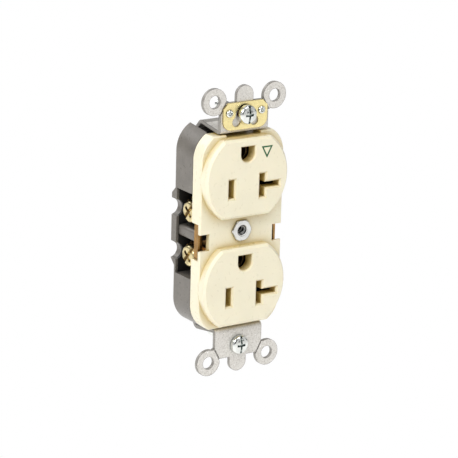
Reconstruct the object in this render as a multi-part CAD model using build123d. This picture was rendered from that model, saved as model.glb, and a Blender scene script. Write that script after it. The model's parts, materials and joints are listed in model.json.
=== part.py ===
from build123d import *
import math
import os

# Duplex wall outlet, 20 A with isolated ground. Millimetres.
# X is to the right, Y goes back into the wall, Z is up.
# The origin is on the axis of the wall-plate screw, in the plane where the strap's ends meet the wall.

# ---- Faces and cover ----
FACE_SPACING = 38.9
FACE_CENTRES = {"upper": FACE_SPACING / 2, "lower": -FACE_SPACING / 2}
FACE_RADIUS = 17.0
FACE_FLAT = 14.0
FACE_FRONT = -4.5
FACE_BEVEL = 0.85
FACE_WALL = 2.0
COLLAR = 0.9
COLLAR_REAR = -0.3
BRIDGE_FRONT = -1.2
COVER_WALL_REAR = 0.8
COVER_REAR = 4.0
HALF_WIDTH = 17.05
CORNER_RADIUS = 10.3
CORNER_TOP = 36.3
COVER_TOP = 34.7
COVER_WALL = 1.6
COVER_EDGE = 0.4
END_RECESS_HALF = 7.1
END_RECESS_DEPTH = 1.0
SIDE_NOTCH_TOP = 0.3
SIDE_NOTCH_BOTTOM = -5.7
SIDE_NOTCH_INNER = 13.1
SKIRT_CUT_TOP = 3.8
SKIRT_CUT_BOTTOM = -9.2

# ---- Plug openings, from each face's centre ----
BLADE_X = 6.35
BLADE_Z = -3.4
HOT_SLOT = (2.2, 6.6)
NEUTRAL_SLOT = (2.2, 8.4)
NEUTRAL_ARM_END = 13.4
NEUTRAL_ARM_HEIGHT = 2.0
GROUND_Z = 8.35
GROUND_RADIUS = 2.8
SLOT_LEAD_IN = 0.65
GROUND_LEAD_IN = 0.45
CONTACT_SLOT_GROW = 0.5
BLADE_REACH = 14.2

# ---- Back body ----
BODY_FRONT = 4.25
BODY_REAR = 14.9
BODY_TOP = 36.1
BODY_RISE = 1.2
BODY_WALL = 1.7
CENTRE_REAR = 19.4
CENTRE_HALF = 10.9
CHANNEL_HALF = 10.3
END_WINDOW_HALF = 11.6
END_WINDOW_REAR = 12.4
END_WINDOW_TOP = 33.6
REAR_WINDOW_TOP = 34.6
DEEP_END_ROOM = 2.5
HOLLOW_TOP = 33.9
HOLLOW_REAR = 13.1
CENTRE_HOLLOW_END = 29.9
CENTRE_HOLLOW_REAR = 18.0
WELL_TOP = 13.8
WELL_BOTTOM = -17.0
WELL_REAR = 14.0
WELL_FLOOR = 10.9
WELL_WALL = 0.9
BLOCK_REAR = 17.5
BLOCK_TOP = 13.5
BLOCK_BOTTOM = -14.6
BLOCK_HALF = 16.8
BLOCK_INNER = 8.0
BLOCK_CHAMFER = 2.2
RIB_TOP = 0.5
RIB_BOTTOM = -3.6
RIB_HALF = 15.9
RIB_ROUND = 1.2
RIB_OVER_LINER = 0.5
NOTCH_RADIUS = 3.1
NOTCH_X = 17.4
NOTCH_CENTRES = (6.4, -9.2)

# ---- Contact carrier ----
CARRIER_GAP = 0.3
CARRIER_REAR = 12.9
CARRIER_FLOOR = WELL_FLOOR - 0.4
CARRIER_CENTRE_FRONT = 12.0
CARRIER_CENTRE_REAR = 17.0
CARRIER_CENTRE_END = 29.2
POCKET_HALF_HEIGHT = 5.2
POCKET_INNER = 3.9
POCKET_ARM_END = 13.6
POCKET_ARM_HALF = 2.2
PIN_PASSAGE = 4.1
POST_ROOM = 0.15
SHELF_REAR = 4.1
SHELF_OUTER = 15.1
SHELF_HEIGHT = (10.6, 14.7)
SHELF_ROOT = (13.8, 15.2)
LINER = (13.9, 14.7)
LINER_HALF = 15.9
LINER_INNER = 10.3
LINER_FOOT = 16.4

# ---- Strap ----
STRAP = 1.3
STRAP_HALF = 9.8
STRAP_TOP = 46.0
STRAP_TAB_HALF = 3.45
STRAP_TAB_TIP = 51.6
EAR_SCORE_OUTER = (9.8, 41.9)
EAR_SCORE_INNER = (7.6, 46.0)
EAR_CENTRE = (12.3, 46.8)
EAR_RADIUS = 4.75
EAR_HOLE = 2.25
SCORE_WIDTH = 0.35
SCORE_DEPTH = 0.3
STRAP_PATH_FRONT = 35.6
STRAP_PATH_CREST = (11.2, 37.3)
STRAP_PATH_KNEE = (13.6, 34.6)
STRAP_PATH_REAR = (20.15, 31.0)
STRAP_FRONT_BEND = 0.75
STRAP_BEND = 1.6
SCREW_SPACING = 83.3
SLOT_LENGTH = 6.2
SLOT_HEIGHT = 4.0
STRAP_TAB_START = 42.0

# ---- Centre post and wall-plate screw thread ----
HEX_ACROSS_FLATS = 7.14
HEX_FRONT = -2.0
POST_RADIUS = 2.9
POST_TAIL = 2.0
POST_HEAD = 3.2
THREAD_RADIUS = 1.42
THREAD_DEPTH = 14.0
HEX_CHAMFER = 0.4
THREAD_COUNTERSINK = 0.6
POST_END = 17.2
POST_HEAD_HEIGHT = 0.9
POST_HEAD_CHAMFER = 0.5

# ---- Mounting screws, No. 6 ----
SCREW_RADIUS = 1.70
SCREW_NECK = 1.40
THREAD_START = 2.9
SCREW_HEAD = 3.4
SCREW_HEAD_HEIGHT = 2.1
SCREW_LENGTH = 18.0
SCREW_HEAD_ROUND = 1.2
SCREW_POINT = 0.8
RECESS_WIDTH = 0.9
RECESS_LENGTH = 3.6
RECESS_DEPTH = 1.3
DRIVE_SLOT_WIDTH = 0.8
DRIVE_SLOT_DEPTH = 0.9
UPPER_SCREW_SEAT = -2.45
LOWER_SCREW_SEAT = -1.42
RETAINER_RADIUS = 3.8
RETAINER_FRONT = 1.7
RETAINER = 0.8

# ---- Automatic ground clip ----
CLIP = 0.55
CLIP_HALF = 9.1
CLIP_TOP = 46.0
CLIP_BOTTOM = 36.25
CLIP_CORNER = 2.0
CLIP_BOTTOM_RADIUS = 3.4
CLIP_SCREW_ROOM = 0.45
CLIP_WINDOW = (3.65, 39.05)
CLIP_WINDOW_RADIUS = 1.65
CLIP_SLOT = (3.35, 40.4)
CLIP_SLOT_SIZE = (3.4, 1.9)
CLIP_SLOT_TILT = 12
RIVET_X = 6.6
RIVET_Z = 42.35
RIVET_SHANK = 0.8
RIVET_HEAD = 1.35
RIVET_HEAD_HEIGHT = 0.6
RIVET_HEAD_ROUND = 0.4
RIVET_TAIL = 0.45
RIVET_HOLE = RIVET_SHANK + 0.05
TOUCH = 0.02

# ---- Terminals ----
BRASS = 0.9
TERMINAL_Y = 9.0
TERMINALS = {"upper": 6.0, "lower": -10.0}
PLATE_INNER = 11.0
PLATE_HALF = 4.1
CLAMP_INNER = 12.6
CLAMP = 1.0
TERMINAL_SHANK = 2.0
TERMINAL_TIP = 7.9
TIP_ROOM = 0.8
TERMINAL_HEAD = 4.0
TERMINAL_HEAD_INNER = 13.75
TERMINAL_HEAD_HEIGHT = 1.7
TERMINAL_HEAD_ROUND = 1.2
TERMINAL_RECESS_TURN = 42
TERMINAL_RECESS_DEPTH = 1.0
TERMINAL_RECESS_HALF = (0.65, 2.3, 0.55)
CLAMP_HALF = (3.9, 3.4)
CLAMP_CORNER = 0.8
GROUND_SCREW_Z = 27.2
GROUND_TIP = 5.9
GROUND_PLATE_INNER = 9.6
GROUND_WELL_HALF = 5.0
GROUND_HEX = 7.4
GROUND_HEAD_HEIGHT = 2.1
GROUND_WASHER = (4.2, 0.6)
GROUND_SLOT_DEPTH = 1.2
GROUND_SLOT_HALF = 0.6
TAB_OUTER = 16.2
TAB_FRONT = 1.4
TAB_REAR = 3.6
SPINE_INNER = 9.35
ARM_REAR = 12.9
ARM_HALF_HEIGHT = 2.5
TAB_ARM = 1.6
LEAF = 0.6
LEAF_HALF_HEIGHT = 3.2
LEAF_FRONT = 2.5
SIDE_LEAF_FRONT = 4.0
SIDE_LEAF_REAR = 12.4
CONTACT = 0.8
BLADE = 1.6
GRIP = (3.15, 2.5)
GRIP_FRONT = 1.0
GRIP_SLOT_HALF = 0.9
GROUND_STRIP = (17.15, 17.85)
GROUND_STRIP_HALF = 2.4
MARK_CORNERS = ((5.35, 30.05), (9.95, 30.05), (7.65, 25.75))
MARK_LINE = 0.5
MARK_THICKNESS = 0.05
FAR = 60
RUNNING = 0.06
SCREW_ROOM = 0.5


def slab(outline, front, rear):
    """Solid with an outline drawn in X and Z, from depth front back to depth rear."""
    return extrude(Plane.XZ.offset(-rear) * outline, rear - front)


def block(x, y, z):
    """Box between two limits along each axis."""
    centre = [(limits[0] + limits[1]) / 2 for limits in (x, y, z)]
    size = [abs(limits[1] - limits[0]) for limits in (x, y, z)]
    return Pos(*centre) * Box(*size)


def pin_x(radius, start, end, y, z):
    """Cylinder along X."""
    return Pos((start + end) / 2, y, z) * Rot(0, 90, 0) * Cylinder(radius, abs(end - start))


def pin_y(radius, front, rear, x=0, z=0):
    """Cylinder along Y."""
    return slab(Pos(x, z) * Circle(radius), front, rear)


def flipped_x(shape):
    """The same shape on the other side of the outlet."""
    return mirror(shape, Plane.YZ)


def flipped_z(shape):
    """The same shape at the other end of the outlet."""
    return mirror(shape, Plane.XY)


def front_edges(shape, depth):
    """Edges that lie wholly at one depth."""
    return shape.edges().filter_by_position(Axis.Y, depth - 0.01, depth + 0.01)


# ---- Outlines in X and Z ----

def body_outline(top, inset=0.0, rise=0.0):
    """Rounded outline of cover and body, cut flat at top and bottom; rise makes the top higher."""
    height = 2 * (CORNER_TOP - inset) + rise
    rounded = RectangleRounded(2 * (HALF_WIDTH - inset), height, CORNER_RADIUS - inset)
    return Pos(0, rise / 2) * (rounded & Rectangle(4 * HALF_WIDTH, 2 * top + rise))


def face_outline(inset=0.0):
    """Round receptacle face with a flat top and bottom."""
    return Circle(FACE_RADIUS - inset) & Rectangle(4 * FACE_RADIUS, 2 * (FACE_FLAT - inset))


def hot_slot(grow=0.0):
    return Pos(-BLADE_X, BLADE_Z) * Rectangle(HOT_SLOT[0] + grow, HOT_SLOT[1] + grow)


def neutral_slot(grow=0.0):
    """Slot in the shape of a T on its side."""
    upright = Pos(BLADE_X, BLADE_Z) * Rectangle(NEUTRAL_SLOT[0] + grow, NEUTRAL_SLOT[1] + grow)
    arm_length = NEUTRAL_ARM_END + grow / 2 - BLADE_X
    arm_x = BLADE_X + arm_length / 2
    return upright + Pos(arm_x, BLADE_Z) * Rectangle(arm_length, NEUTRAL_ARM_HEIGHT + grow)


def ground_hole():
    """Round hole with a square upper half."""
    square = Pos(0, GROUND_Z + GROUND_RADIUS / 2) * Rectangle(2 * GROUND_RADIUS, GROUND_RADIUS)
    return Pos(0, GROUND_Z) * Circle(GROUND_RADIUS) + square


def collars(gap=0.0):
    """Outline of the walls that stand behind a face, round its plug openings."""
    return hot_slot(2 * (COLLAR + gap)) + neutral_slot(2 * (COLLAR + gap)) + offset(
        ground_hole(), COLLAR + gap, kind=Kind.INTERSECTION)


def plug_opening_cutter(opening, lead_in):
    """Cutter for a plug opening, with a flare at its front that is as deep as it is wide."""
    mouth = Plane.XZ.offset(-FACE_FRONT) * offset(opening, lead_in, kind=Kind.INTERSECTION)
    throat = Plane.XZ.offset(-FACE_FRONT - lead_in) * opening
    return slab(opening, FACE_FRONT, 2) + loft([mouth.face(), throat.face()])


# ---- Mouldings ----

def face_cover():
    cover = slab(body_outline(COVER_TOP), BRIDGE_FRONT, COVER_REAR)
    cover = chamfer(front_edges(cover, BRIDGE_FRONT), COVER_EDGE)
    cover -= slab(body_outline(COVER_TOP - COVER_WALL, COVER_WALL), COVER_WALL_REAR, COVER_REAR + 1)
    for side in (-1, 1):
        out = side * (HALF_WIDTH + 1)
        cover -= block((side * SIDE_NOTCH_INNER, out), (-3, 6), (SIDE_NOTCH_BOTTOM, SIDE_NOTCH_TOP))
        cover -= block((side * SIDE_NOTCH_INNER, out), (-0.1, 6), (SKIRT_CUT_BOTTOM, SKIRT_CUT_TOP))
        # Shallow recess at each end, where the strap comes out.
        edge = side * COVER_TOP
        recess_z = (edge - side * END_RECESS_DEPTH, edge + side)
        cover -= block((-END_RECESS_HALF, END_RECESS_HALF), (-3, 6), recess_z)
    for centre in FACE_CENTRES.values():
        face = slab(Pos(0, centre) * face_outline(), FACE_FRONT, COVER_WALL_REAR)
        face = chamfer(front_edges(face, FACE_FRONT), FACE_BEVEL)
        cover += face
    for centre in FACE_CENTRES.values():
        hollow = slab(Pos(0, centre) * face_outline(FACE_WALL - 0.2), FACE_FRONT + FACE_WALL, 2)
        cover -= hollow - slab(Pos(0, centre) * collars(), FACE_FRONT, COLLAR_REAR)
        for opening, lead_in in (
                (hot_slot(), SLOT_LEAD_IN), (neutral_slot(), SLOT_LEAD_IN), (ground_hole(), GROUND_LEAD_IN)):
            cover -= plug_opening_cutter(Pos(0, centre) * opening, lead_in)
    return cover - pin_y(POST_RADIUS + POST_ROOM, -3, 3)


def strap_path():
    """Corners, as Y and Z, of the strap's middle line over the top, from the front to the back."""
    return [(-STRAP / 2, STRAP_PATH_FRONT), STRAP_PATH_CREST, STRAP_PATH_KNEE, STRAP_PATH_REAR]


def mirrored_down(points):
    """The same corners below, in the order that carries the line on."""
    return [(y, -z) for y, z in reversed(points)]


def wrap_space(gap):
    """Space inside the strap's wrap, a gap away from the strap and as wide as its channel."""
    path = strap_path()
    middle = make_face(Polyline(*path, *mirrored_down(path), close=True))
    inside = offset(middle, -STRAP / 2 - gap, kind=Kind.INTERSECTION)
    return extrude(Plane.YZ * inside, CHANNEL_HALF, both=True)


def terminal_wells(side):
    """Open space of the two terminal wells on one side, without the rib between them."""
    return block((side * WELL_FLOOR, side * 25), (0, WELL_REAR), (WELL_BOTTOM, WELL_TOP))


def ground_well():
    return block((WELL_FLOOR, 25), (BODY_FRONT - 1, WELL_REAR - 0.2),
                 (GROUND_SCREW_Z - GROUND_WELL_HALF, GROUND_SCREW_Z + GROUND_WELL_HALF))


def liner(side, gap=0.0):
    """Wall of the carrier behind the terminal screws on one side, with its foot."""
    height = (WELL_BOTTOM + 0.1 - gap, WELL_TOP - 0.1 + gap)
    wall = block((side * LINER_INNER, side * (LINER_HALF + gap)), (LINER[0] - gap, LINER[1] + gap), height)
    foot_x = (side * LINER_INNER, side * (WELL_FLOOR - 0.1 + gap))
    foot = block(foot_x, (LINER[0] - gap, LINER_FOOT + gap), height)
    return wall + foot


def back_body():
    front = Plane.XZ.offset(-BODY_FRONT) * body_outline(BODY_TOP)
    rear = Plane.XZ.offset(-BODY_REAR) * body_outline(BODY_TOP, 0, BODY_RISE)
    body = loft([front.face(), rear.face()], ruled=True)
    deep_end = STRAP_PATH_REAR[1] + DEEP_END_ROOM
    body += block((-CENTRE_HALF, CENTRE_HALF), (BODY_REAR - 1, CENTRE_REAR), (-deep_end, deep_end))
    for side in (-1, 1):
        rear_block = block((side * BLOCK_INNER, side * BLOCK_HALF), (WELL_REAR - 1, BLOCK_REAR),
                           (BLOCK_BOTTOM, BLOCK_TOP))
        outer_corners = rear_block.edges().filter_by(Axis.X).sort_by(Axis.Y)[-2:]
        body += chamfer(outer_corners, BLOCK_CHAMFER)
    # The strap's channel runs over both ends and down the back.
    in_channel = block((-CHANNEL_HALF, CHANNEL_HALF), (-FAR, FAR), (-FAR, FAR))
    body -= in_channel - wrap_space(0.2)
    for end in (-1, 1):
        for rear, start in ((END_WINDOW_REAR, END_WINDOW_TOP), (BODY_REAR + 1, REAR_WINDOW_TOP)):
            window_x = (-END_WINDOW_HALF, END_WINDOW_HALF)
            body -= block(window_x, (BODY_FRONT - 1, rear), (end * start, end * FAR))
    # Hollow for the contact carrier.
    body -= slab(body_outline(HOLLOW_TOP, BODY_WALL), BODY_FRONT - 1, HOLLOW_REAR)
    body -= block((-WELL_FLOOR + 0.3, WELL_FLOOR - 0.3), (BODY_FRONT - 1, CENTRE_HOLLOW_REAR),
                  (-CENTRE_HOLLOW_END, CENTRE_HOLLOW_END))
    wall_top = WELL_TOP + WELL_WALL
    wall_bottom = WELL_BOTTOM - WELL_WALL
    for side in (-1, 1):
        inner, outer = side * WELL_FLOOR, side * (HALF_WIDTH - 1.0)
        body += block((inner, outer), (BODY_FRONT, WELL_REAR), (WELL_TOP, wall_top))
        body += block((inner, outer), (BODY_FRONT, WELL_REAR), (wall_bottom, WELL_BOTTOM))
        body -= terminal_wells(side)
        body -= liner(side, 0.1)
        rib = block((inner, side * RIB_HALF), (BODY_FRONT, LINER[1] + RIB_OVER_LINER), (RIB_BOTTOM, RIB_TOP))
        rib_edges = rib.edges().filter_by(Axis.Y).sort_by(Axis.X)
        body += fillet(rib_edges[-2:] if side > 0 else rib_edges[:2], RIB_ROUND)
        for notch_z in NOTCH_CENTRES:
            body -= pin_y(NOTCH_RADIUS, WELL_REAR - 2, BLOCK_REAR + 1, side * NOTCH_X, notch_z)
    body -= ground_well()
    return body - pin_y(POST_TAIL + POST_ROOM, 10, 25)


def contact_carrier():
    floor = CARRIER_FLOOR
    outline = body_outline(COVER_TOP - COVER_WALL - CARRIER_GAP, BODY_WALL + 0.25)
    carrier = slab(outline, COVER_WALL_REAR + 0.2, CARRIER_REAR)
    for side in (-1, 1):
        well_height = (WELL_BOTTOM - WELL_WALL - 0.2, WELL_TOP + WELL_WALL + 0.2)
        carrier -= block((side * floor, side * FAR), (-5, 30), well_height)
    ground_low = GROUND_SCREW_Z - GROUND_WELL_HALF - 0.2
    carrier -= block((floor, FAR), (-5, 30), (ground_low, FAR))
    carrier += block((-floor, floor), (CARRIER_CENTRE_FRONT, CARRIER_CENTRE_REAR),
                     (-CARRIER_CENTRE_END, CARRIER_CENTRE_END))
    boss_front = FACE_FRONT + FACE_WALL + 0.1
    for centre in FACE_CENTRES.values():
        carrier += slab(Pos(0, centre) * face_outline(FACE_WALL + 0.1), boss_front, 2)
        carrier -= slab(Pos(0, centre) * collars(0.1), boss_front - 1, COLLAR_REAR + 0.1)
        openings = hot_slot(CONTACT_SLOT_GROW) + neutral_slot(CONTACT_SLOT_GROW)
        carrier -= slab(Pos(0, centre) * openings, boss_front - 1, 2)
    for centre in FACE_CENTRES.values():
        blade = centre + BLADE_Z
        pocket = (0.5, BLADE_REACH + 1.0)
        height = (blade - POCKET_HALF_HEIGHT, blade + POCKET_HALF_HEIGHT)
        carrier -= block((-floor, -POCKET_INNER), pocket, height)
        carrier -= block((POCKET_INNER, floor), pocket, height)
        carrier -= block((floor, POCKET_ARM_END), pocket, (blade - POCKET_ARM_HALF, blade + POCKET_ARM_HALF))
        carrier -= pin_y(PIN_PASSAGE, -5, 25, 0, centre + GROUND_Z)
    # Long slots for the spines that join the upper and lower contacts.
    for side in (-1, 1):
        spine = (side * (SPINE_INNER - 0.3), side * 20)
        low = FACE_CENTRES["lower"] + BLADE_Z
        high = FACE_CENTRES["upper"] + BLADE_Z
        carrier -= block(spine, (3.5, BLADE_REACH + 1.0), (low, high))
    for z in TERMINALS.values():
        for side in (-1, 1):
            tip = side * (TERMINAL_TIP - TIP_ROOM)
            carrier -= pin_x(TERMINAL_SHANK + SCREW_ROOM, tip, side * 20, TERMINAL_Y, z)
    for side in (-1, 1):
        carrier += liner(side)
        rib_gap = (RIB_BOTTOM - 0.1, RIB_TOP + 0.1)
        carrier -= block((side * (WELL_FLOOR - 0.2), side * 20), (LINER[0] - 1, LINER[1] + 1), rib_gap)
        for notch_z in NOTCH_CENTRES:
            carrier -= pin_y(NOTCH_RADIUS + 0.1, LINER[0] - 1, LINER[1] + 1, side * NOTCH_X, notch_z)
    # Shelf that closes the upper neutral well off from the T slot above it.
    shelf_depth = (COVER_WALL_REAR + 0.2, SHELF_REAR)
    carrier += block((floor, SHELF_OUTER), shelf_depth, SHELF_HEIGHT)
    carrier += block((SHELF_ROOT[0], SHELF_OUTER), shelf_depth, (SHELF_HEIGHT[1] - 0.1, SHELF_ROOT[1]))
    # Way out for the ground arm, from the back to the ground well.
    carrier -= block((GROUND_PLATE_INNER - 0.2, FAR), (-5, 30), (GROUND_SCREW_Z - 4.0, FAR))
    carrier -= pin_x(TERMINAL_SHANK + SCREW_ROOM, GROUND_TIP - TIP_ROOM, 20, TERMINAL_Y, GROUND_SCREW_Z)
    return carrier - pin_y(POST_RADIUS + POST_ROOM, -5, 15) - pin_y(PIN_PASSAGE, 14.4, 25)


# ---- Steel strap, post, clip and rivets ----

def ear(x_sign, z_sign):
    """Break-off ear: a ring on a short neck that starts at the score line."""
    outer = Vector(*EAR_SCORE_OUTER)
    inner = Vector(*EAR_SCORE_INNER)
    along = (inner - outer).normalized()
    away = Vector(along.Y, -along.X)
    reach = (Vector(*EAR_CENTRE) - outer).dot(away)
    neck = [outer, inner, inner + away * reach, outer + away * reach]
    outline = make_face(Polyline(*neck, close=True)) + Pos(*EAR_CENTRE) * Circle(EAR_RADIUS)
    ring = slab(outline - Pos(*EAR_CENTRE) * Circle(EAR_HOLE), -STRAP, 0)
    ring = flipped_x(ring) if x_sign < 0 else ring
    return flipped_z(ring) if z_sign < 0 else ring


def score_groove(x_sign, z_sign):
    """Shallow groove across an ear's neck, where the ear breaks off."""
    outer = Vector(*EAR_SCORE_OUTER)
    inner = Vector(*EAR_SCORE_INNER)
    along = (inner - outer).normalized()
    across = Vector(along.Y, -along.X) * SCORE_WIDTH
    corners = [outer - along, inner + along, inner + along + across, outer - along + across]
    groove = slab(make_face(Polyline(*corners, close=True)), -STRAP - 1, -STRAP + SCORE_DEPTH)
    groove = flipped_x(groove) if x_sign < 0 else groove
    return flipped_z(groove) if z_sign < 0 else groove


def mounting_strap():
    path = [(-STRAP / 2, STRAP_TOP)] + strap_path()
    bends = [STRAP_FRONT_BEND] + [STRAP_BEND] * 3
    middle = FilletPolyline(*path, *mirrored_down(path), radius=bends + bends[::-1])
    strap = extrude(Plane.YZ * trace(middle, STRAP), STRAP_HALF, both=True)
    outer_x, outer_z = EAR_SCORE_OUTER
    inner_x, inner_z = EAR_SCORE_INNER
    corners = ((outer_x, outer_z), (inner_x, inner_z), (20, inner_z), (20, outer_z))
    corner = make_face(Polyline(*corners, close=True))
    tab = Rectangle(2 * STRAP_TAB_HALF, 2 * (STRAP_TAB_TIP - STRAP_TAB_HALF)) + [
        Pos(0, end * (STRAP_TAB_TIP - STRAP_TAB_HALF)) * Circle(STRAP_TAB_HALF) for end in (-1, 1)]
    tabs = slab(tab, -STRAP, 0) - block((-10, 10), (-5, 5), (-STRAP_TAB_START, STRAP_TAB_START))
    for x_sign in (-1, 1):
        for z_sign in (-1, 1):
            cut = slab(corner, -3, 2)
            cut = flipped_x(cut) if x_sign < 0 else cut
            strap -= flipped_z(cut) if z_sign < 0 else cut
            strap += ear(x_sign, z_sign)
    strap += tabs
    for x_sign in (-1, 1):
        for z_sign in (-1, 1):
            strap -= score_groove(x_sign, z_sign)
    for end in (-1, 1):
        slot = SlotOverall(SLOT_LENGTH, SLOT_HEIGHT)
        strap -= slab(Pos(0, end * SCREW_SPACING / 2) * slot, -3, 2)
    for side in (-1, 1):
        strap -= pin_y(RIVET_HOLE, -3, 2, side * RIVET_X, RIVET_Z)
    return strap - pin_y(POST_TAIL + 0.05, 10, 25)


def center_post():
    hexagon = RegularPolygon(HEX_ACROSS_FLATS / 2, 6, major_radius=False)
    head = slab(hexagon, HEX_FRONT, BRIDGE_FRONT - TOUCH)
    flats = pin_y(HEX_ACROSS_FLATS / math.sqrt(3) - 0.05, HEX_FRONT, 0)
    head &= chamfer(front_edges(flats, HEX_FRONT), HEX_CHAMFER)
    post = head + pin_y(POST_RADIUS, BRIDGE_FRONT - 0.1, POST_END)
    strap_rear = STRAP_PATH_REAR[0] + STRAP / 2
    post += pin_y(POST_TAIL, POST_END - 0.1, strap_rear + 0.1)
    rivet_head = pin_y(POST_HEAD, strap_rear + TOUCH, strap_rear + POST_HEAD_HEIGHT)
    post += chamfer(front_edges(rivet_head, strap_rear + POST_HEAD_HEIGHT), POST_HEAD_CHAMFER)
    thread = pin_y(THREAD_RADIUS, HEX_FRONT - 1, HEX_FRONT + THREAD_DEPTH)
    mouth = front_edges(post - thread, HEX_FRONT).filter_by(GeomType.CIRCLE).sort_by(SortBy.RADIUS)[0]
    return chamfer(mouth, THREAD_COUNTERSINK)


def clip_window(side):
    """Round opening below the screw, with a narrower slot that runs up beside the screw."""
    round_end = Pos(side * CLIP_WINDOW[0], CLIP_WINDOW[1]) * Circle(CLIP_WINDOW_RADIUS)
    turned = Rot(0, 0, 90 + side * CLIP_SLOT_TILT) * SlotCenterToCenter(*CLIP_SLOT_SIZE)
    return round_end + Pos(side * CLIP_SLOT[0], CLIP_SLOT[1]) * turned


def auto_ground_clip():
    middle = (CLIP_TOP + CLIP_BOTTOM) / 2
    plate = Pos(0, middle) * Rectangle(2 * CLIP_HALF, CLIP_TOP - CLIP_BOTTOM)
    plate = fillet(plate.vertices().sort_by(Axis.Y)[:2], CLIP_BOTTOM_RADIUS)
    plate = chamfer(plate.vertices().sort_by(Axis.Y)[-2:], CLIP_CORNER)
    plate -= Pos(0, SCREW_SPACING / 2) * Circle(SCREW_RADIUS + CLIP_SCREW_ROOM)
    for side in (-1, 1):
        plate -= clip_window(side)
        plate -= Pos(side * RIVET_X, RIVET_Z) * Circle(RIVET_HOLE)
    return slab(plate, -STRAP - CLIP - TOUCH, -STRAP - TOUCH)


def clip_rivets():
    clip_front = -STRAP - CLIP - TOUCH
    head_front = clip_front - TOUCH - RIVET_HEAD_HEIGHT
    rivets = []
    for side in (-1, 1):
        x = side * RIVET_X
        head = pin_y(RIVET_HEAD, head_front, clip_front - TOUCH, x, RIVET_Z)
        head = fillet(front_edges(head, head_front), RIVET_HEAD_ROUND)
        tail = pin_y(RIVET_HEAD, TOUCH, RIVET_TAIL, x, RIVET_Z)
        rivets.append(head + pin_y(RIVET_SHANK, clip_front - 0.1, 0.1, x, RIVET_Z) + tail)
    return Compound(rivets)


# ---- Screws ----

def recess_cross(width, length, depth, seat):
    """Cross recess, cut back from a screw head's outer face at depth seat."""
    arms = Rectangle(width, length) + Rectangle(length, width)
    return slab(arms, seat - 1, seat + depth)


def mounting_screw(seat, z):
    """Oval-headed screw with a slot, a cross recess and a plain neck; seat is the head's underside."""
    outer = seat - SCREW_HEAD_HEIGHT
    head = pin_y(SCREW_HEAD, outer, seat)
    head = fillet(front_edges(head, outer), SCREW_HEAD_ROUND)
    neck = pin_y(SCREW_NECK, seat - 0.1, THREAD_START)
    shank = pin_y(SCREW_RADIUS, THREAD_START, seat + SCREW_LENGTH)
    shank = chamfer(front_edges(shank, seat + SCREW_LENGTH), SCREW_POINT)
    screw = head + neck + shank - recess_cross(RECESS_WIDTH, RECESS_LENGTH, RECESS_DEPTH, outer)
    screw -= slab(Rectangle(DRIVE_SLOT_WIDTH, 4 * SCREW_HEAD), outer - 1, outer + DRIVE_SLOT_DEPTH)
    return Pos(0, 0, z) * screw


def screw_retainer(z):
    """Fibre washer on the screw's neck behind the strap, which keeps the screw from falling out."""
    ring = Circle(RETAINER_RADIUS) - Circle(SCREW_NECK + RUNNING)
    return Pos(0, 0, z) * slab(ring, RETAINER_FRONT, RETAINER_FRONT + RETAINER)


def terminal_screw(side, z, inward=0.0):
    """Wide-headed terminal screw along X; inward moves it towards the middle of the outlet."""
    seat = TERMINAL_HEAD_INNER - inward
    outer = seat + TERMINAL_HEAD_HEIGHT
    head = pin_x(TERMINAL_HEAD, seat, outer, TERMINAL_Y, z)
    rim = head.edges().filter_by(GeomType.CIRCLE).sort_by(Axis.X)[-1]
    head = fillet(rim, TERMINAL_HEAD_ROUND)
    shank = pin_x(TERMINAL_SHANK, TERMINAL_TIP - inward, seat + 0.1, TERMINAL_Y, z)
    screw = head + shank
    recess_x = (outer - TERMINAL_RECESS_DEPTH, outer + 1)
    slot_half, cross_length, cross_half = TERMINAL_RECESS_HALF
    recess = block(recess_x, (-slot_half, slot_half), (-5, 5))
    recess += block(recess_x, (-cross_length, cross_length), (-cross_half, cross_half))
    screw -= Pos(0, TERMINAL_Y, z) * Rot(TERMINAL_RECESS_TURN, 0, 0) * recess
    return screw if side > 0 else flipped_x(screw)


def ground_screw():
    """Green screw with a slotted hexagon head."""
    inward = PLATE_INNER - GROUND_PLATE_INNER
    seat = TERMINAL_HEAD_INNER - inward
    outer = seat + GROUND_HEAD_HEIGHT
    washer_radius, washer_height = GROUND_WASHER
    hexagon = RegularPolygon(GROUND_HEX / 2, 6, major_radius=False)
    head = Pos(seat, TERMINAL_Y, GROUND_SCREW_Z) * (Plane.YZ * extrude(hexagon, outer - seat))
    washer = pin_x(washer_radius, seat, seat + washer_height, TERMINAL_Y, GROUND_SCREW_Z)
    shank = pin_x(TERMINAL_SHANK, GROUND_TIP, seat + 0.1, TERMINAL_Y, GROUND_SCREW_Z)
    slot_z = (GROUND_SCREW_Z - GROUND_SLOT_HALF, GROUND_SCREW_Z + GROUND_SLOT_HALF)
    slot = block((outer - GROUND_SLOT_DEPTH, outer + 1), (0, 20), slot_z)
    return head + washer + shank - slot


def clamp_plate(side, z, inward=0.0):
    """Square pressure plate under a terminal screw."""
    start = CLAMP_INNER - inward
    half_y, half_z = CLAMP_HALF
    across = (TERMINAL_Y - half_y, TERMINAL_Y + half_y)
    plate = block((start, start + CLAMP), across, (z - half_z, z + half_z))
    plate = chamfer(plate.edges().filter_by(Axis.X), CLAMP_CORNER)
    plate -= pin_x(TERMINAL_SHANK + RUNNING, start - 1, start + CLAMP + 1, TERMINAL_Y, z)
    return plate if side > 0 else flipped_x(plate)


# ---- Contacts ----

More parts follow.
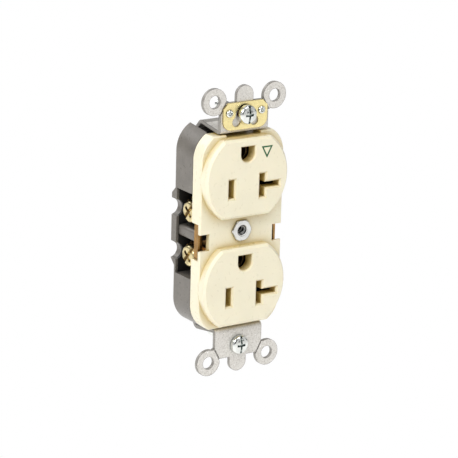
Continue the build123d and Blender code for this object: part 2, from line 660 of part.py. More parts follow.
def blade_contact(slot_outline):
    """Right-hand brass contact: terminal plates, break-off tab, spine and the two pairs of leaves."""
    web = (TAB_REAR - CONTACT, TAB_REAR)
    outer = (TAB_OUTER - CONTACT, TAB_OUTER)
    tab_height = (SKIRT_CUT_BOTTOM + 0.2, SKIRT_CUT_TOP - 0.2)
    contact = block(outer, (TAB_FRONT, TAB_REAR), tab_height)
    contact += block((SIDE_NOTCH_INNER + 0.3, TAB_OUTER), web, tab_height)
    low, high = (FACE_CENTRES[name] + BLADE_Z for name in ("lower", "upper"))
    spine = (SPINE_INNER, SPINE_INNER + CONTACT)
    contact += block(spine, (4, BLADE_REACH + CONTACT), (low - 4.5, high + 4.5))
    for name, z in TERMINALS.items():
        limits = (z - PLATE_HALF, z + 3.9) if name == "lower" else (z - 3.9, z + PLATE_HALF)
        contact += block((PLATE_INNER, PLATE_INNER + BRASS), (web[0], ARM_REAR), limits)
        tab_end = tab_height[1] if name == "upper" else tab_height[0] + TAB_ARM
        contact += block((PLATE_INNER, TAB_OUTER), web, (tab_end - TAB_ARM, tab_end))
        arm_height = (z - ARM_HALF_HEIGHT, z + ARM_HALF_HEIGHT)
        contact += block((SPINE_INNER, PLATE_INNER + BRASS), (ARM_REAR - CONTACT, ARM_REAR), arm_height)
        contact -= pin_x(TERMINAL_SHANK + RUNNING, PLATE_INNER - 0.1, 20, TERMINAL_Y, z)
        contact -= pin_x(TERMINAL_SHANK + SCREW_ROOM, 5, PLATE_INNER - 0.1, TERMINAL_Y, z)
    for centre in FACE_CENTRES.values():
        blade = centre + BLADE_Z
        height = (blade - LEAF_HALF_HEIGHT, blade + LEAF_HALF_HEIGHT)
        leaves = (BLADE_X - BLADE / 2 - LEAF, BLADE_X + BLADE / 2)
        contact += block((leaves[0], SPINE_INNER + CONTACT), (BLADE_REACH, BLADE_REACH + CONTACT), height)
        for x in leaves:
            contact += block((x, x + LEAF), (LEAF_FRONT, BLADE_REACH + 0.1), height)
        contact -= slab(Pos(0, centre) * slot_outline, -5, BLADE_REACH - 0.02)
    return contact


def contact_passage(reach):
    """Room for a plug blade: its slot's outline, narrowed to the blade's own thickness."""
    upright = Pos(BLADE_X, BLADE_Z) * Rectangle(BLADE, 20)
    arm = Pos((BLADE_X + reach) / 2, BLADE_Z) * Rectangle(reach - BLADE_X, BLADE)
    return upright + arm if reach > BLADE_X else upright


def hot_contact():
    return flipped_x(blade_contact(contact_passage(BLADE_X)))


def neutral_contact():
    contact = blade_contact(contact_passage(NEUTRAL_ARM_END + 0.3))
    for centre in FACE_CENTRES.values():
        blade = centre + BLADE_Z
        back = (BLADE_REACH, BLADE_REACH + CONTACT)
        leaf_x = (SPINE_INNER + 0.1, NEUTRAL_ARM_END - 0.2)
        for low, high in ((0.8, 1.2), (-1.2, -0.8)):
            contact += block(leaf_x, (SIDE_LEAF_FRONT, SIDE_LEAF_REAR), (blade + low, blade + high))
        contact -= block((WELL_FLOOR - 0.5, 30), back, (blade - 5, blade + 5))
    return contact


def ground_contact():
    strip = GROUND_STRIP
    low, high = (FACE_CENTRES[name] + GROUND_Z for name in ("lower", "upper"))
    contact = block((-GROUND_STRIP_HALF, GROUND_STRIP_HALF), strip, (low - 3, high + 0.5))
    contact += pin_y(6.0, strip[0], strip[1])
    arm_z = (GROUND_SCREW_Z - 3.6, GROUND_SCREW_Z + 2.0)
    arm_x = (GROUND_PLATE_INNER, GROUND_PLATE_INNER + BRASS)
    contact += block((-GROUND_STRIP_HALF, arm_x[1]), strip, (arm_z[0] + 0.5, arm_z[1]))
    contact += block(arm_x, (5.2, strip[1]), arm_z)
    contact -= pin_x(TERMINAL_SHANK + RUNNING, 5, 20, TERMINAL_Y, GROUND_SCREW_Z)
    for z in (low, high):
        grip = slab(Pos(0, z) * (Circle(GRIP[0]) - Circle(GRIP[1])), GRIP_FRONT, strip[0] + 0.1)
        grip -= block((-GRIP_SLOT_HALF, GRIP_SLOT_HALF), (-5, 30), (z - 5, z + 5))
        for edge in (z - 4, z + 4):
            grip -= block((-4, 4), (12.5, 30), (edge - 2.4, edge + 2.4))
        contact += grip
    return contact - pin_y(3.95, 10, 20)


def ground_isolator():
    """Insulating sleeve that keeps the ground strip off the centre post."""
    sleeve = Circle(3.8) - Circle(POST_RADIUS + 0.1)
    return slab(sleeve, 14.6, 16.95)


def isolated_ground_mark():
    """Thin triangular outline, point down, printed on the upper face."""
    outer = make_face(Polyline(*MARK_CORNERS, close=True))
    inner = offset(outer, -MARK_LINE, kind=Kind.INTERSECTION)
    return slab(outer - inner, FACE_FRONT - MARK_THICKNESS, FACE_FRONT)


def write(name, shape):
    export_step(shape, f"parts/{name}.step")


os.makedirs("parts", exist_ok=True)
write("face_cover", face_cover())
write("back_body", back_body())
write("contact_carrier", contact_carrier())
write("mounting_strap", mounting_strap())
write("center_post", center_post())
write("auto_ground_clip", auto_ground_clip())
write("clip_rivets", clip_rivets())
write("hot_contact", hot_contact())
write("neutral_contact", neutral_contact())
write("ground_contact", ground_contact())
write("ground_isolator", ground_isolator())
write("isolated_ground_mark", isolated_ground_mark())
write("top_mounting_screw", mounting_screw(UPPER_SCREW_SEAT, SCREW_SPACING / 2))
write("bottom_mounting_screw", mounting_screw(LOWER_SCREW_SEAT, -SCREW_SPACING / 2))
write("top_screw_retainer", screw_retainer(SCREW_SPACING / 2))
write("bottom_screw_retainer", screw_retainer(-SCREW_SPACING / 2))
for wire, side in (("hot", -1), ("neutral", 1)):
    for place, z in TERMINALS.items():
        write(f"{wire}_{place}_screw", terminal_screw(side, z))
        write(f"{wire}_{place}_clamp", clamp_plate(side, z))
write("ground_screw", ground_screw())
write("ground_clamp", clamp_plate(1, GROUND_SCREW_Z, PLATE_INNER - GROUND_PLATE_INNER))
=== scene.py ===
import bpy
import json
import math
from mathutils import Matrix, Vector


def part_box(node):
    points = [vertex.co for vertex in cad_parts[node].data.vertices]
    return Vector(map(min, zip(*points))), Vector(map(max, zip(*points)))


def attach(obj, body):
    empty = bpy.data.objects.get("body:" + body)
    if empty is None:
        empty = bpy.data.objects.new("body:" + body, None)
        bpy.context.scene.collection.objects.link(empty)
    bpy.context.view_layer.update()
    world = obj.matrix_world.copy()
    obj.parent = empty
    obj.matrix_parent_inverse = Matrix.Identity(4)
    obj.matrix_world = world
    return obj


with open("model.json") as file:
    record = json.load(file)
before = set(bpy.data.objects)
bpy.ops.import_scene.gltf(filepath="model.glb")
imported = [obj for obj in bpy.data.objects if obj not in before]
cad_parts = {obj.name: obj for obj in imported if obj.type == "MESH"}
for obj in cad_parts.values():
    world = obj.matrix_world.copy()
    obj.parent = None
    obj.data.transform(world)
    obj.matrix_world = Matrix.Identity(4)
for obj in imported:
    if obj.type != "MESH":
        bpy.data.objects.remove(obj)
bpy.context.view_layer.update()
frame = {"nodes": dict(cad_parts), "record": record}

MM = 0.001
nodes = frame["nodes"]

# ---- Colours, linear ----
IVORY = (0.81, 0.755, 0.575)
# painted shade colour for the ivory's recesses and corners
IVORY_RECESS_SHADE = (0.55, 0.40, 0.12)
WARM_GREY = (0.150, 0.137, 0.120)
ZINC_STOPS = [(0.34, (0.30, 0.27, 0.23)), (0.46, (0.66, 0.635, 0.59)), (0.60, (0.76, 0.74, 0.70))]
ZINC_CLOUD = (0.60, 0.58, 0.545)
# painted glint colour for the strap
ZINC_GLINT = (0.95, 0.95, 0.93)
ZINC_SHEARED = (0.33, 0.315, 0.29)
# painted shade along the strap's sharp edges
ZINC_EDGE_SHADE = (0.07, 0.06, 0.05)
# painted shade inside the post's bore, and painted highlights on its thread crests
BORE_SHADE = (0.012, 0.012, 0.012)
BORE_CREST_HIGHLIGHT = (0.85, 0.84, 0.82)

# ---- Strap and post, in metres ----
STRAP_BEND_END = 37.5 * MM      # the strap is flat beyond this height, above and below
BORE_REACH = 2.0 * MM           # wider than the bore, narrower than the hexagon
BORE_MOUTH = -1.99 * MM         # just behind the post's front face
BORE_LINE_PITCH = 0.55 * MM

# ---- Added pieces, in millimetres ----
THREAD_PITCH = 0.79375          # No. 6-32
THREAD_STEPS = 28               # sections in one turn
THREAD_FOOT = 0.36              # half the ridge's foot, in pitches
THREAD_TOP = 0.06               # half the ridge's flat top, in pitches
SCREW_THREAD_FRONT = 3.1
SCREW_THREAD_REAR = {"top": 14.6, "bottom": 15.6}
SCREW_ROOT, SCREW_CREST = 1.69, 1.83
POST_THREAD = (-1.2, 10.5)
POST_ROOT, POST_CREST = 1.43, 1.22
RIVET_HEAD = 1.35
STAKING_SINK = 0.03             # its level parts lie this far inside the rivet's head
STAKING_RINGS = ((0.0, 0.0), (0.22, 0.0), (0.40, 0.34), (0.80, 0.30), (1.0, 0.04), (1.15, -0.03))
STAKING_RAYED = (0.3, 0.9)      # rings between these radii rise and fall round the head
STAKING_RAYS = 8
STAKING_AROUND = 64
DOME_RADIUS = 2.4
DOME_ZERO_RADIUS = 2.3          # where the dome meets the head's flat face
DOME_RISE = 0.34
DOME_SINK = 0.55
DOME_RINGS, DOME_AROUND = 34, 112
SLOT_HALF_WIDTH = 0.30
ARM_HALF_WIDTH = 0.34
ARM_HALF_LENGTH = 1.6
RECESS_SLOPE = 0.14             # width of the recess's sloping wall

# ---- Camera and light, in metres, degrees and watts ----
CAMERA_AZIMUTH = -34.03
CAMERA_ELEVATION = 16.35
CAMERA_ROLL = 1.58
CAMERA_DISTANCE = 0.8457
CAMERA_AIM = (-0.00426, 0, 0.00065)
LENS, SENSOR = 191.93, 36.0
FLOOR_HALF, FLOOR_Z = 3.0, -0.16
FLOOR_GLOW = 0.40
ROOM_STRENGTH = 0.78
SOFTBOXES = {
    "key": ((-0.62, -0.25, 0.55), (0.35, 0.35), 4.6),
    "fill": ((0.10, -0.50, 0.80), (0.4, 0.4), 2.6),
    "rear": ((-0.22, 0.66, 0.46), (0.5, 0.3), 0.9),
}

# ---- Sockets of a mix node in colour mode: factor, two colours, result ----
MIX_INPUTS = (0, 6, 7)
MIX_RESULT = 2


# ---- Node helpers ----

def new_material(name):
    """A material with a Principled shader, its tree and that shader."""
    material = bpy.data.materials.new(name)
    material.use_nodes = True
    tree = material.node_tree
    tree.nodes.clear()
    output = tree.nodes.new("ShaderNodeOutputMaterial")
    shader = tree.nodes.new("ShaderNodeBsdfPrincipled")
    tree.links.new(shader.outputs["BSDF"], output.inputs["Surface"])
    return material, tree, shader


def place_in(tree, stretch=(1, 1, 1)):
    """The surface point in the object's own space, in metres."""
    coords = tree.nodes.new("ShaderNodeTexCoord")
    mapping = tree.nodes.new("ShaderNodeMapping")
    mapping.inputs["Scale"].default_value = stretch
    tree.links.new(coords.outputs["Object"], mapping.inputs["Vector"])
    return mapping.outputs["Vector"]


def noise(tree, scale, detail=3.0, roughness=0.5, stretch=(1, 1, 1)):
    """Noise in the object's own space; scale is in features per metre."""
    texture = tree.nodes.new("ShaderNodeTexNoise")
    texture.inputs["Scale"].default_value = scale
    texture.inputs["Detail"].default_value = detail
    texture.inputs["Roughness"].default_value = roughness
    tree.links.new(place_in(tree, stretch), texture.inputs["Vector"])
    return texture.outputs["Fac"]


def ramp(tree, source, stops):
    """Colour ramp over a value; stops are (position, colour)."""
    node = tree.nodes.new("ShaderNodeValToRGB")
    elements = node.color_ramp.elements
    while len(elements) < len(stops):
        elements.new(0.5)
    for element, (position, colour) in zip(elements, stops):
        element.position = position
        element.color = (*colour, 1.0)
    tree.links.new(source, node.inputs["Fac"])
    return node.outputs["Color"]


def value_range(tree, source, low, high, start=0.3, end=0.7):
    """Maps a value between start and end onto low to high."""
    node = tree.nodes.new("ShaderNodeMapRange")
    node.inputs["From Min"].default_value = start
    node.inputs["From Max"].default_value = end
    node.inputs["To Min"].default_value = low
    node.inputs["To Max"].default_value = high
    tree.links.new(source, node.inputs["Value"])
    return node.outputs["Result"]


def connect(tree, value, socket):
    """Sets a socket to a number or a colour, or links an output to it."""
    if isinstance(value, (int, float)):
        socket.default_value = value
    elif isinstance(value, tuple):
        socket.default_value = (*value, 1.0)
    else:
        tree.links.new(value, socket)


def calculate(tree, operation, first, second=None):
    """A math node on values or constants."""
    node = tree.nodes.new("ShaderNodeMath")
    node.operation = operation
    connect(tree, first, node.inputs[0])
    if second is not None:
        connect(tree, second, node.inputs[1])
    return node.outputs["Value"]


def mix_colour(tree, factor, first, second):
    """The first colour where the factor is 0, and the second where it is 1."""
    node = tree.nodes.new("ShaderNodeMix")
    node.data_type = "RGBA"
    for index, value in zip(MIX_INPUTS, (factor, first, second)):
        connect(tree, value, node.inputs[index])
    return node.outputs[MIX_RESULT]


def split(tree, vector):
    """The X, Y and Z of a vector, as a node with three outputs."""
    node = tree.nodes.new("ShaderNodeSeparateXYZ")
    tree.links.new(vector, node.inputs[0])
    return node


def soft_edge_normal(tree, radius):
    """Surface normal with every sharp edge rounded to a radius."""
    edge = tree.nodes.new("ShaderNodeBevel")
    edge.samples = 4
    edge.inputs["Radius"].default_value = radius
    return edge.outputs["Normal"]


def edge_mask(tree, radius, low=0.02, high=0.25):
    """0 on flat surfaces, towards 1 on sharp edges."""
    geometry = tree.nodes.new("ShaderNodeNewGeometry")
    dot = tree.nodes.new("ShaderNodeVectorMath")
    dot.operation = "DOT_PRODUCT"
    tree.links.new(soft_edge_normal(tree, radius), dot.inputs[0])
    tree.links.new(geometry.outputs["Normal"], dot.inputs[1])
    away = calculate(tree, "SUBTRACT", 1.0, dot.outputs["Value"])
    return value_range(tree, away, 0.0, 1.0, low, high)


def hollow_mask(tree, reach, low, high):
    """1 in corners and recesses, 0 on open surfaces."""
    shadow = tree.nodes.new("ShaderNodeAmbientOcclusion")
    shadow.samples = 12
    shadow.inputs["Distance"].default_value = reach
    return value_range(tree, shadow.outputs["AO"], 1.0, 0.0, low, high)


def bump(tree, shader, height, distance, strength=1.0, edge_radius=0.0):
    """Bump of a height in metres, over softened edges where edge_radius is set."""
    node = tree.nodes.new("ShaderNodeBump")
    node.inputs["Distance"].default_value = distance
    node.inputs["Strength"].default_value = strength
    tree.links.new(height, node.inputs["Height"])
    if edge_radius:
        tree.links.new(soft_edge_normal(tree, edge_radius), node.inputs["Normal"])
    tree.links.new(node.outputs["Normal"], shader.inputs["Normal"])


def shade(colour, factor):
    """A colour made darker or lighter."""
    return tuple(channel * factor for channel in colour)


def set_colour(tree, shader, colour):
    """Base colour from a node's output."""
    tree.links.new(colour, shader.inputs["Base Color"])


def set_roughness(tree, shader, source, low, high):
    """Roughness that follows a texture between two values."""
    tree.links.new(value_range(tree, source, low, high), shader.inputs["Roughness"])


# ---- Materials ----

def ivory_moulding():
    """Satin ivory thermoplastic with a faint flow mottle, fine grain, and painted shade that makes its
    recesses darker and yellower.
    """
    material, tree, shader = new_material("ivory_moulding")
    mottle = noise(tree, scale=110, detail=4.0)
    colour = ramp(tree, mottle, [(0.35, shade(IVORY, 0.975)), (0.65, shade(IVORY, 1.015))])
    # painted shade: occluded recesses and corners turn darker and yellower
    recess = hollow_mask(tree, reach=6.5 * MM, low=0.32, high=0.96)
    set_colour(tree, shader, mix_colour(tree, recess, colour, IVORY_RECESS_SHADE))
    set_roughness(tree, shader, noise(tree, scale=700, detail=2.0), 0.26, 0.36)
    shader.inputs["Subsurface Weight"].default_value = 0.10
    shader.inputs["Subsurface Radius"].default_value = (0.9, 0.6, 0.3)
    shader.inputs["Subsurface Scale"].default_value = 0.6 * MM
    shader.inputs["IOR"].default_value = 1.5
    grain = noise(tree, scale=5200, detail=2.0)
    bump(tree, shader, grain, distance=0.0025 * MM, strength=0.6, edge_radius=0.16 * MM)
    return material


def grey_moulding():
    """Warm grey thermoplastic with a sparked matt texture, painted shade in its recesses and painted
    highlights on its sharp edges.
    """
    material, tree, shader = new_material("grey_moulding")
    mottle = noise(tree, scale=260, detail=5.0, roughness=0.6)
    colour = ramp(tree, mottle, [(0.3, shade(WARM_GREY, 0.86)), (0.7, shade(WARM_GREY, 1.12))])
    flecks = noise(tree, scale=4200, detail=2.0, roughness=0.6)
    speck = value_range(tree, flecks, 0.0, 1.0, start=0.60, end=0.72)
    colour = mix_colour(tree, speck, colour, shade(WARM_GREY, 1.5))
    # painted shade: occluded recesses darkened
    recess = hollow_mask(tree, reach=5.0 * MM, low=0.2, high=0.85)
    colour = mix_colour(tree, recess, colour, shade(WARM_GREY, 0.22))
    # painted highlight: sharp edges lightened
    colour = mix_colour(tree, edge_mask(tree, radius=0.16 * MM), colour, shade(WARM_GREY, 2.2))
    set_colour(tree, shader, colour)
    set_roughness(tree, shader, noise(tree, scale=900), 0.26, 0.40)
    shader.inputs["IOR"].default_value = 1.55
    grain = noise(tree, scale=3200, roughness=0.65)
    bump(tree, shader, grain, distance=0.007 * MM, strength=0.8, edge_radius=0.25 * MM)
    return material


def plain_finish(name, colours, colour_noise, gloss_noise, gloss, grain_noise, grain,
                 metallic=0.0, edge_radius=0.0):
    """Two-colour mottle with its own roughness and grain.

    Each noise is a tuple of noise()'s arguments after tree. gloss is the lowest and highest roughness, and
    grain is the bump's depth in millimetres and its strength.
    """
    material, tree, shader = new_material(name)
    set_colour(tree, shader, ramp(tree, noise(tree, *colour_noise), list(zip((0.3, 0.7), colours))))
    shader.inputs["Metallic"].default_value = metallic
    set_roughness(tree, shader, noise(tree, *gloss_noise), *gloss)
    depth, strength = grain
    bump(tree, shader, noise(tree, *grain_noise), depth * MM, strength, edge_radius)
    return material


def black_moulding():
    """Near-black matt thermoplastic."""
    return plain_finish("black_moulding", ((0.004, 0.004, 0.004), (0.009, 0.009, 0.009)),
                        colour_noise=(300, 4.0), gloss_noise=(900, 2.0), gloss=(0.45, 0.6),
                        grain_noise=(3000, 3.0), grain=(0.015, 0.6))


def green_print():
    """Green ink with an uneven surface."""
    return plain_finish("green_print", ((0.010, 0.085, 0.030), (0.018, 0.13, 0.05)),
                        colour_noise=(4000, 3.0), gloss_noise=(3000, 2.0), gloss=(0.4, 0.6),
                        grain_noise=(6000, 2.0), grain=(0.004, 0.5))


def green_steel():
    """Steel with a green finish that lets the metal shine through."""
    return plain_finish("green_steel", ((0.02, 0.20, 0.08), (0.04, 0.30, 0.13)),
                        colour_noise=(500, 4.0), gloss_noise=(900, 3.0), gloss=(0.25, 0.42),
                        grain_noise=(2500, 2.0), grain=(0.006, 0.6), metallic=0.7,
                        edge_radius=0.08 * MM)


def fibre():
    """Vulcanised fibre washer with a fibrous surface."""
    strands = (900, 5.0, 0.7, (1, 1, 6))
    return plain_finish("fibre", ((0.20, 0.045, 0.025), (0.34, 0.10, 0.05)),
                        colour_noise=strands, gloss_noise=strands, gloss=(0.6, 0.85),
                        grain_noise=strands, grain=(0.02, 0.7))


def sheared_mask(tree):
    """Grows on the strap's sheared side faces: those that face across X, or along Z beyond the bends."""
    geometry = tree.nodes.new("ShaderNodeNewGeometry")
    facing = split(tree, geometry.outputs["Normal"])
    place = split(tree, place_in(tree))
    across = calculate(tree, "ABSOLUTE", facing.outputs["X"])
    along = calculate(tree, "ABSOLUTE", facing.outputs["Z"])
    height = calculate(tree, "ABSOLUTE", place.outputs["Z"])
    beyond = calculate(tree, "GREATER_THAN", height, STRAP_BEND_END)
    end_face = calculate(tree, "MULTIPLY", along, beyond)
    sideways = calculate(tree, "MAXIMUM", across, end_face)
    return value_range(tree, sideways, 0.0, 1.0, start=0.35, end=0.75)


def galvanised_strap():
    """Zinc-coated steel: pale grey with a fine dark and bright speckle, painted glints, darker sheared
    edges and painted shade along its sharp edges.
    """
    material, tree, shader = new_material("galvanised_strap")
    fine = noise(tree, scale=1500, detail=5.0, roughness=0.85)
    colour = ramp(tree, fine, ZINC_STOPS)
    cloud = value_range(tree, noise(tree, scale=160), 0.0, 0.35, start=0.4, end=0.75)
    colour = mix_colour(tree, cloud, colour, ZINC_CLOUD)
    # painted glints: bright flecks standing in for reflections
    glints = noise(tree, scale=1300, detail=2.0, roughness=0.7, stretch=(1, 1, 1.7))
    glint = value_range(tree, glints, 0.0, 1.0, start=0.66, end=0.72)
    colour = mix_colour(tree, glint, colour, ZINC_GLINT)
    colour = mix_colour(tree, sheared_mask(tree), colour, ZINC_SHEARED)
    # painted shade: sharp edges darkened nearly to black
    rim = edge_mask(tree, radius=0.36 * MM, low=0.01, high=0.09)
    set_colour(tree, shader, mix_colour(tree, rim, colour, ZINC_EDGE_SHADE))
    shader.inputs["Metallic"].default_value = 0.35
    set_roughness(tree, shader, noise(tree, scale=700, detail=4.0, roughness=0.6), 0.34, 0.56)
    bump(tree, shader, fine, distance=0.030 * MM, strength=0.8, edge_radius=0.10 * MM)
    return material


def painted_bore(tree, colour):
    """Painted shade inside the bore round the Y axis, with painted highlights on the crests of its thread.
    """
    place = split(tree, place_in(tree))
    x, y, z = (place.outputs[axis] for axis in ("X", "Y", "Z"))
    squares = [calculate(tree, "MULTIPLY", value, value) for value in (x, z)]
    radius = calculate(tree, "SQRT", calculate(tree, "ADD", *squares))
    inside = calculate(tree, "MULTIPLY", calculate(tree, "LESS_THAN", radius, BORE_REACH),
                       calculate(tree, "GREATER_THAN", y, BORE_MOUTH))
    turn = calculate(tree, "DIVIDE", calculate(tree, "ARCTAN2", z, x), 2 * math.pi)
    along = calculate(tree, "DIVIDE", y, BORE_LINE_PITCH)
    wave = calculate(tree, "PINGPONG", calculate(tree, "ADD", along, turn), 0.5)
    crest = value_range(tree, wave, 0.0, 1.0, start=0.30, end=0.40)
    lines = mix_colour(tree, crest, BORE_SHADE, BORE_CREST_HIGHLIGHT)
    return mix_colour(tree, inside, colour, lines), inside


def metal(name, base, rough, spread, bump_height=0.008, tarnish=0.85, hollow_shade=None,
          edge_highlight=None, edge_shade=None, bore=False, ripple=0.0):
    """Bare or plated metal with tarnish in patches and a fine grain; where asked, painted shade in its
    hollows, painted highlights along its edges, painted shade along its edges, and painted shade with
    highlighted thread crests in a bore.

    rough and spread give the roughness, bump_height is in millimetres, tarnish is how dark the patches
    are, and ripple adds long waves that break up the reflections.
    """
    material, tree, shader = new_material(name)
    patches = noise(tree, scale=420, detail=5.0, roughness=0.6)
    colour = ramp(tree, patches, [(0.35, shade(base, tarnish)), (0.6, base)])
    # painted shade in hollows, placed by occlusion
    if hollow_shade:
        colour = mix_colour(tree, hollow_mask(tree, reach=1.1 * MM, low=0.40, high=0.92), colour, hollow_shade)
    # painted highlight along sharp edges
    if edge_highlight:
        colour = mix_colour(tree, edge_mask(tree, radius=0.15 * MM), colour, edge_highlight)
    # painted shade along sharp edges
    if edge_shade:
        rim = edge_mask(tree, radius=0.30 * MM, low=0.01, high=0.10)
        colour = mix_colour(tree, rim, colour, edge_shade)
    shader.inputs["Metallic"].default_value = 1.0
    # painted shade inside the bore, with painted highlights on its thread crests
    if bore:
        colour, inside = painted_bore(tree, colour)
        tree.links.new(value_range(tree, inside, 1.0, 0.2, start=0.0, end=1.0), shader.inputs["Metallic"])
    set_colour(tree, shader, colour)
    set_roughness(tree, shader, noise(tree, scale=800), rough, rough + spread)
    height = noise(tree, scale=1500, roughness=0.6)
    if ripple:
        waves = calculate(tree, "MULTIPLY", noise(tree, scale=420, detail=1.0), ripple)
        height = calculate(tree, "ADD", height, waves)
    bump(tree, shader, height, bump_height * MM, strength=0.8, edge_radius=0.10 * MM)
    return material


# In the metals below, the colours for hollows and edges are painted shade and painted highlights, and
# post_steel's bore gets painted shade with highlighted crests.
MATERIALS = {
    "ivory_moulding": ivory_moulding(),
    "grey_moulding": grey_moulding(),
    "black_moulding": black_moulding(),
    "galvanised_strap": galvanised_strap(),
    "post_steel": metal("post_steel", (0.80, 0.80, 0.78), rough=0.24, spread=0.18, bump_height=0.014,
                        hollow_shade=(0.05, 0.05, 0.05), edge_shade=(0.10, 0.09, 0.08), bore=True),
    "plated_screw": metal("plated_screw", (0.80, 0.82, 0.79), rough=0.06, spread=0.10,
                          hollow_shade=(0.13, 0.17, 0.16), ripple=12.0),
    "clip_brass": metal("clip_brass", (1.0, 0.86, 0.43), rough=0.22, spread=0.12, tarnish=0.93,
                        hollow_shade=(0.25, 0.15, 0.04), edge_shade=(0.30, 0.20, 0.06)),
    "contact_brass": metal("contact_brass", (0.46, 0.26, 0.09), rough=0.28, spread=0.15, tarnish=0.6,
                           hollow_shade=(0.06, 0.02, 0.01), edge_highlight=(1.0, 0.80, 0.42)),
    "terminal_brass": metal("terminal_brass", (0.80, 0.68, 0.38), rough=0.14, spread=0.16, tarnish=0.60,
                            hollow_shade=(0.10, 0.035, 0.012), edge_shade=(0.25, 0.13, 0.04), ripple=9.0),
    "clamp_brass": metal("clamp_brass", (0.36, 0.20, 0.06), rough=0.28, spread=0.18, tarnish=0.7,
                         hollow_shade=(0.03, 0.012, 0.006), edge_highlight=(0.7, 0.5, 0.2)),
    "green_print": green_print(),
    "green_steel": green_steel(),
    "fibre": fibre(),
}


def paint_cad_nodes():
    """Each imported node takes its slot's material."""
    for part in frame["record"]["subparts"]:
        mesh = nodes[part["node"]].data
        mesh.materials.clear()
        mesh.materials.append(MATERIALS[part["material_slot"]])


# ---- Added pieces ----

def box_mm(node):
    """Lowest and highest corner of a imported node, in millimetres."""
    low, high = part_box(node)
    return low / MM, high / MM


def add_piece(name, vertices, faces, slot_name, body):
    """A smooth mesh in the object's frame, given in millimetres, that rides on a body."""
    mesh = bpy.data.meshes.new(name)
    mesh.from_pydata([Vector(vertex) * MM for vertex in vertices], [], faces)
    for polygon in mesh.polygons:
        polygon.use_smooth = True
    mesh.materials.append(MATERIALS[slot_name])
    piece = bpy.data.objects.new(name, mesh)
    bpy.context.scene.collection.objects.link(piece)
    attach(piece, body)
    return piece


def thread(name, z, front, rear, root, crest, slot_name, body):
    """Helical ridge along Y at height z; crest is inside root for a threaded hole."""
    turns = (rear - front) / THREAD_PITCH
    count = int(turns * THREAD_STEPS)
    vertices, faces = [], []
    for step in range(count + 1):
        angle = 2 * math.pi * step / THREAD_STEPS
        y = front + THREAD_PITCH * step / THREAD_STEPS
        fade = min(1.0, step / THREAD_STEPS, (count - step) / THREAD_STEPS)
        tip = root + (crest - root) * fade
        profile = ((root, -THREAD_FOOT), (tip, -THREAD_TOP), (tip, THREAD_TOP), (root, THREAD_FOOT))
        for radius, offset in profile:
            along = y + offset * THREAD_PITCH
            vertices.append((radius * math.cos(angle), along, z + radius * math.sin(angle)))
    for step in range(count):
        for side in range(3):
            a = 4 * step + side
            quad = (a, a + 1, a + 5, a + 4)
            faces.append(quad if crest > root else quad[::-1])
    return add_piece(name, vertices, faces, slot_name, body)


def ring_faces(rings, around):
    """Quads between rings of points, from the middle outwards."""
    faces = []
    for ring in range(rings - 1):
        for step in range(around):
            a, b = ring * around + step, ring * around + (step + 1) % around
            faces.append((a, b, b + around, a + around))
    return faces


def staked_head(name, x, z, front):
    """Star-shaped swaging on a rivet head: a pit in the middle and punched rays."""
    inner, outer = STAKING_RAYED
    vertices = []
    for radius, height in STAKING_RINGS:
        for step in range(STAKING_AROUND):
            angle = 2 * math.pi * step / STAKING_AROUND
            ray = 0.5 + 0.5 * math.cos(STAKING_RAYS * angle)
            lift = height * ray if inner < radius < outer else height
            vertices.append((x + radius * math.cos(angle), front - lift, z + radius * math.sin(angle)))
    faces = ring_faces(len(STAKING_RINGS), STAKING_AROUND)
    return add_piece(name, vertices, faces, "plated_screw", "root")


def domed_head(name, z, front, body):
    """Shallow dome on a mounting screw's head, sunk where the slot and the cross recess are."""
    vertices = []
    for ring in range(DOME_RINGS + 1):
        radius = DOME_RADIUS * ring / DOME_RINGS
        dome = DOME_RISE * (1 - (radius / DOME_ZERO_RADIUS) ** 2)
        for step in range(DOME_AROUND):
            angle = 2 * math.pi * step / DOME_AROUND
            x, up = radius * math.cos(angle), radius * math.sin(angle)
            past_slot = abs(x) - SLOT_HALF_WIDTH
            past_arm = max(abs(up) - ARM_HALF_WIDTH, abs(x) - ARM_HALF_LENGTH)
            sunk = min(max(0.5 - min(past_slot, past_arm) / RECESS_SLOPE, 0.0), 1.0)
            height = dome - (dome + DOME_SINK) * sunk
            vertices.append((x, front - height, z + up))
    faces = ring_faces(DOME_RINGS + 1, DOME_AROUND)
    return add_piece(name, vertices, faces, "plated_screw", body)


def add_details():
    """Threads, domed heads and staked rivets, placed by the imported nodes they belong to."""
    boxes = {end: box_mm(f"{end}_mounting_screw") for end in SCREW_THREAD_REAR}
    heights = {end: (low.z + high.z) / 2 for end, (low, high) in boxes.items()}
    for end, height in heights.items():
        thread(f"{end}_screw_thread", height, SCREW_THREAD_FRONT, SCREW_THREAD_REAR[end],
               SCREW_ROOT, SCREW_CREST, "plated_screw", f"{end}_screw")
    for end, height in heights.items():
        front = boxes[end][0].y
        domed_head(f"{end}_screw_dome", height, front, f"{end}_screw")
    thread("post_thread", 0.0, *POST_THREAD, POST_ROOT, POST_CREST, "post_steel", "root")
    low, high = box_mm("clip_rivets")
    for side, name in ((-1, "left"), (1, "right")):
        staked_head(f"{name}_rivet_staking", side * (high.x - RIVET_HEAD), (low.z + high.z) / 2,
                    low.y + STAKING_SINK)


# ---- Setting ----

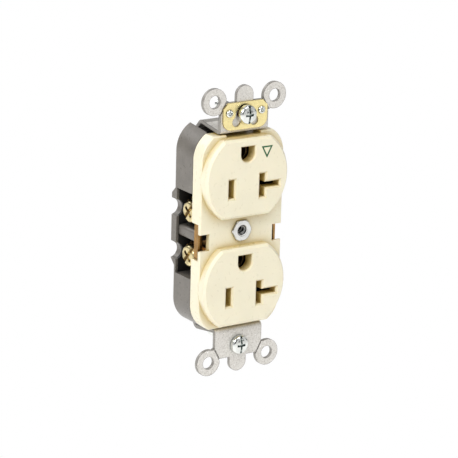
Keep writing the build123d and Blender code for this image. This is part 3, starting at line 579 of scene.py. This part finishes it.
def camera():
    """Long lens a little above the outlet and to its left."""
    azimuth, elevation, roll = map(math.radians, (CAMERA_AZIMUTH, CAMERA_ELEVATION, CAMERA_ROLL))
    back = Vector((math.sin(azimuth) * math.cos(elevation), -math.cos(azimuth) * math.cos(elevation),
                   math.sin(elevation)))
    level = Vector((math.cos(azimuth), math.sin(azimuth), 0))
    up = back.cross(level)
    right = level * math.cos(roll) + up * math.sin(roll)
    top = up * math.cos(roll) - level * math.sin(roll)
    data = bpy.data.cameras.new("camera")
    data.lens = LENS
    data.sensor_width = SENSOR
    data.clip_start = 0.05
    data.clip_end = 20.0
    eye = bpy.data.objects.new("camera", data)
    turn = Matrix((right, top, back)).transposed().to_4x4()
    eye.matrix_world = Matrix.Translation(Vector(CAMERA_AIM) + back * CAMERA_DISTANCE) @ turn
    bpy.context.scene.collection.objects.link(eye)
    bpy.context.scene.camera = eye


def softbox(name, place, size, watts):
    """Rectangular light aimed at the outlet."""
    data = bpy.data.lights.new(name, "AREA")
    data.shape = "RECTANGLE"
    data.size, data.size_y = size
    data.energy = watts
    light = bpy.data.objects.new(name, data)
    light.location = Vector(place)
    light.rotation_euler = (-Vector(place)).to_track_quat("-Z", "Y").to_euler()
    bpy.context.scene.collection.objects.link(light)


def seen_white(tree, output_name, glow_type, other):
    """White where the camera looks straight at it, and the other shader for all other rays."""
    path = tree.nodes.new("ShaderNodeLightPath")
    glow = tree.nodes.new(glow_type)
    glow.inputs["Color"].default_value = (1, 1, 1, 1)
    glow.inputs["Strength"].default_value = 1.0
    mix = tree.nodes.new("ShaderNodeMixShader")
    tree.links.new(path.outputs["Is Camera Ray"], mix.inputs[0])
    tree.links.new(other, mix.inputs[1])
    tree.links.new(glow.outputs[0], mix.inputs[2])
    tree.links.new(mix.outputs[0], tree.nodes[output_name].inputs["Surface"])


def room():
    """White surroundings with soft darker patches, which the metal parts reflect."""
    world = bpy.data.worlds.new("studio")
    world.use_nodes = True
    tree = world.node_tree
    background = tree.nodes["Background"]
    coords = tree.nodes.new("ShaderNodeTexCoord")
    patches = tree.nodes.new("ShaderNodeTexNoise")
    patches.inputs["Scale"].default_value = 2.2
    patches.inputs["Detail"].default_value = 1.0
    tree.links.new(coords.outputs["Generated"], patches.inputs["Vector"])
    stops = [(0.42, (0.06, 0.06, 0.065)), (0.58, (1.0, 1.0, 1.0))]
    tree.links.new(ramp(tree, patches.outputs["Fac"], stops), background.inputs["Color"])
    background.inputs["Strength"].default_value = ROOM_STRENGTH
    seen_white(tree, "World Output", "ShaderNodeBackground", background.outputs[0])
    bpy.context.scene.world = world


def pale_floor():
    """Large matt floor with a faint glow."""
    mesh = bpy.data.meshes.new("floor")
    corners = [(x * FLOOR_HALF, y * FLOOR_HALF, FLOOR_Z) for x, y in ((-1, -1), (1, -1), (1, 1), (-1, 1))]
    mesh.from_pydata(corners, [], [(0, 1, 2, 3)])
    floor = bpy.data.objects.new("floor", mesh)
    bpy.context.scene.collection.objects.link(floor)
    material, tree, shader = new_material("floor")
    shader.inputs["Base Color"].default_value = (0.78, 0.78, 0.78, 1)
    shader.inputs["Roughness"].default_value = 0.9
    shader.inputs["Emission Color"].default_value = (1, 0.98, 0.95, 1)
    shader.inputs["Emission Strength"].default_value = FLOOR_GLOW
    seen_white(tree, "Material Output", "ShaderNodeEmission", shader.outputs[0])
    mesh.materials.append(material)


def studio():
    """White room, pale floor and soft lights, the strongest from the upper left."""
    room()
    pale_floor()
    for name, (place, size, watts) in SOFTBOXES.items():
        softbox(name, place, size, watts)
    settings = bpy.context.scene.view_settings
    settings.view_transform = "Standard"
    settings.look = "None"


paint_cad_nodes()
add_details()
camera()
studio()
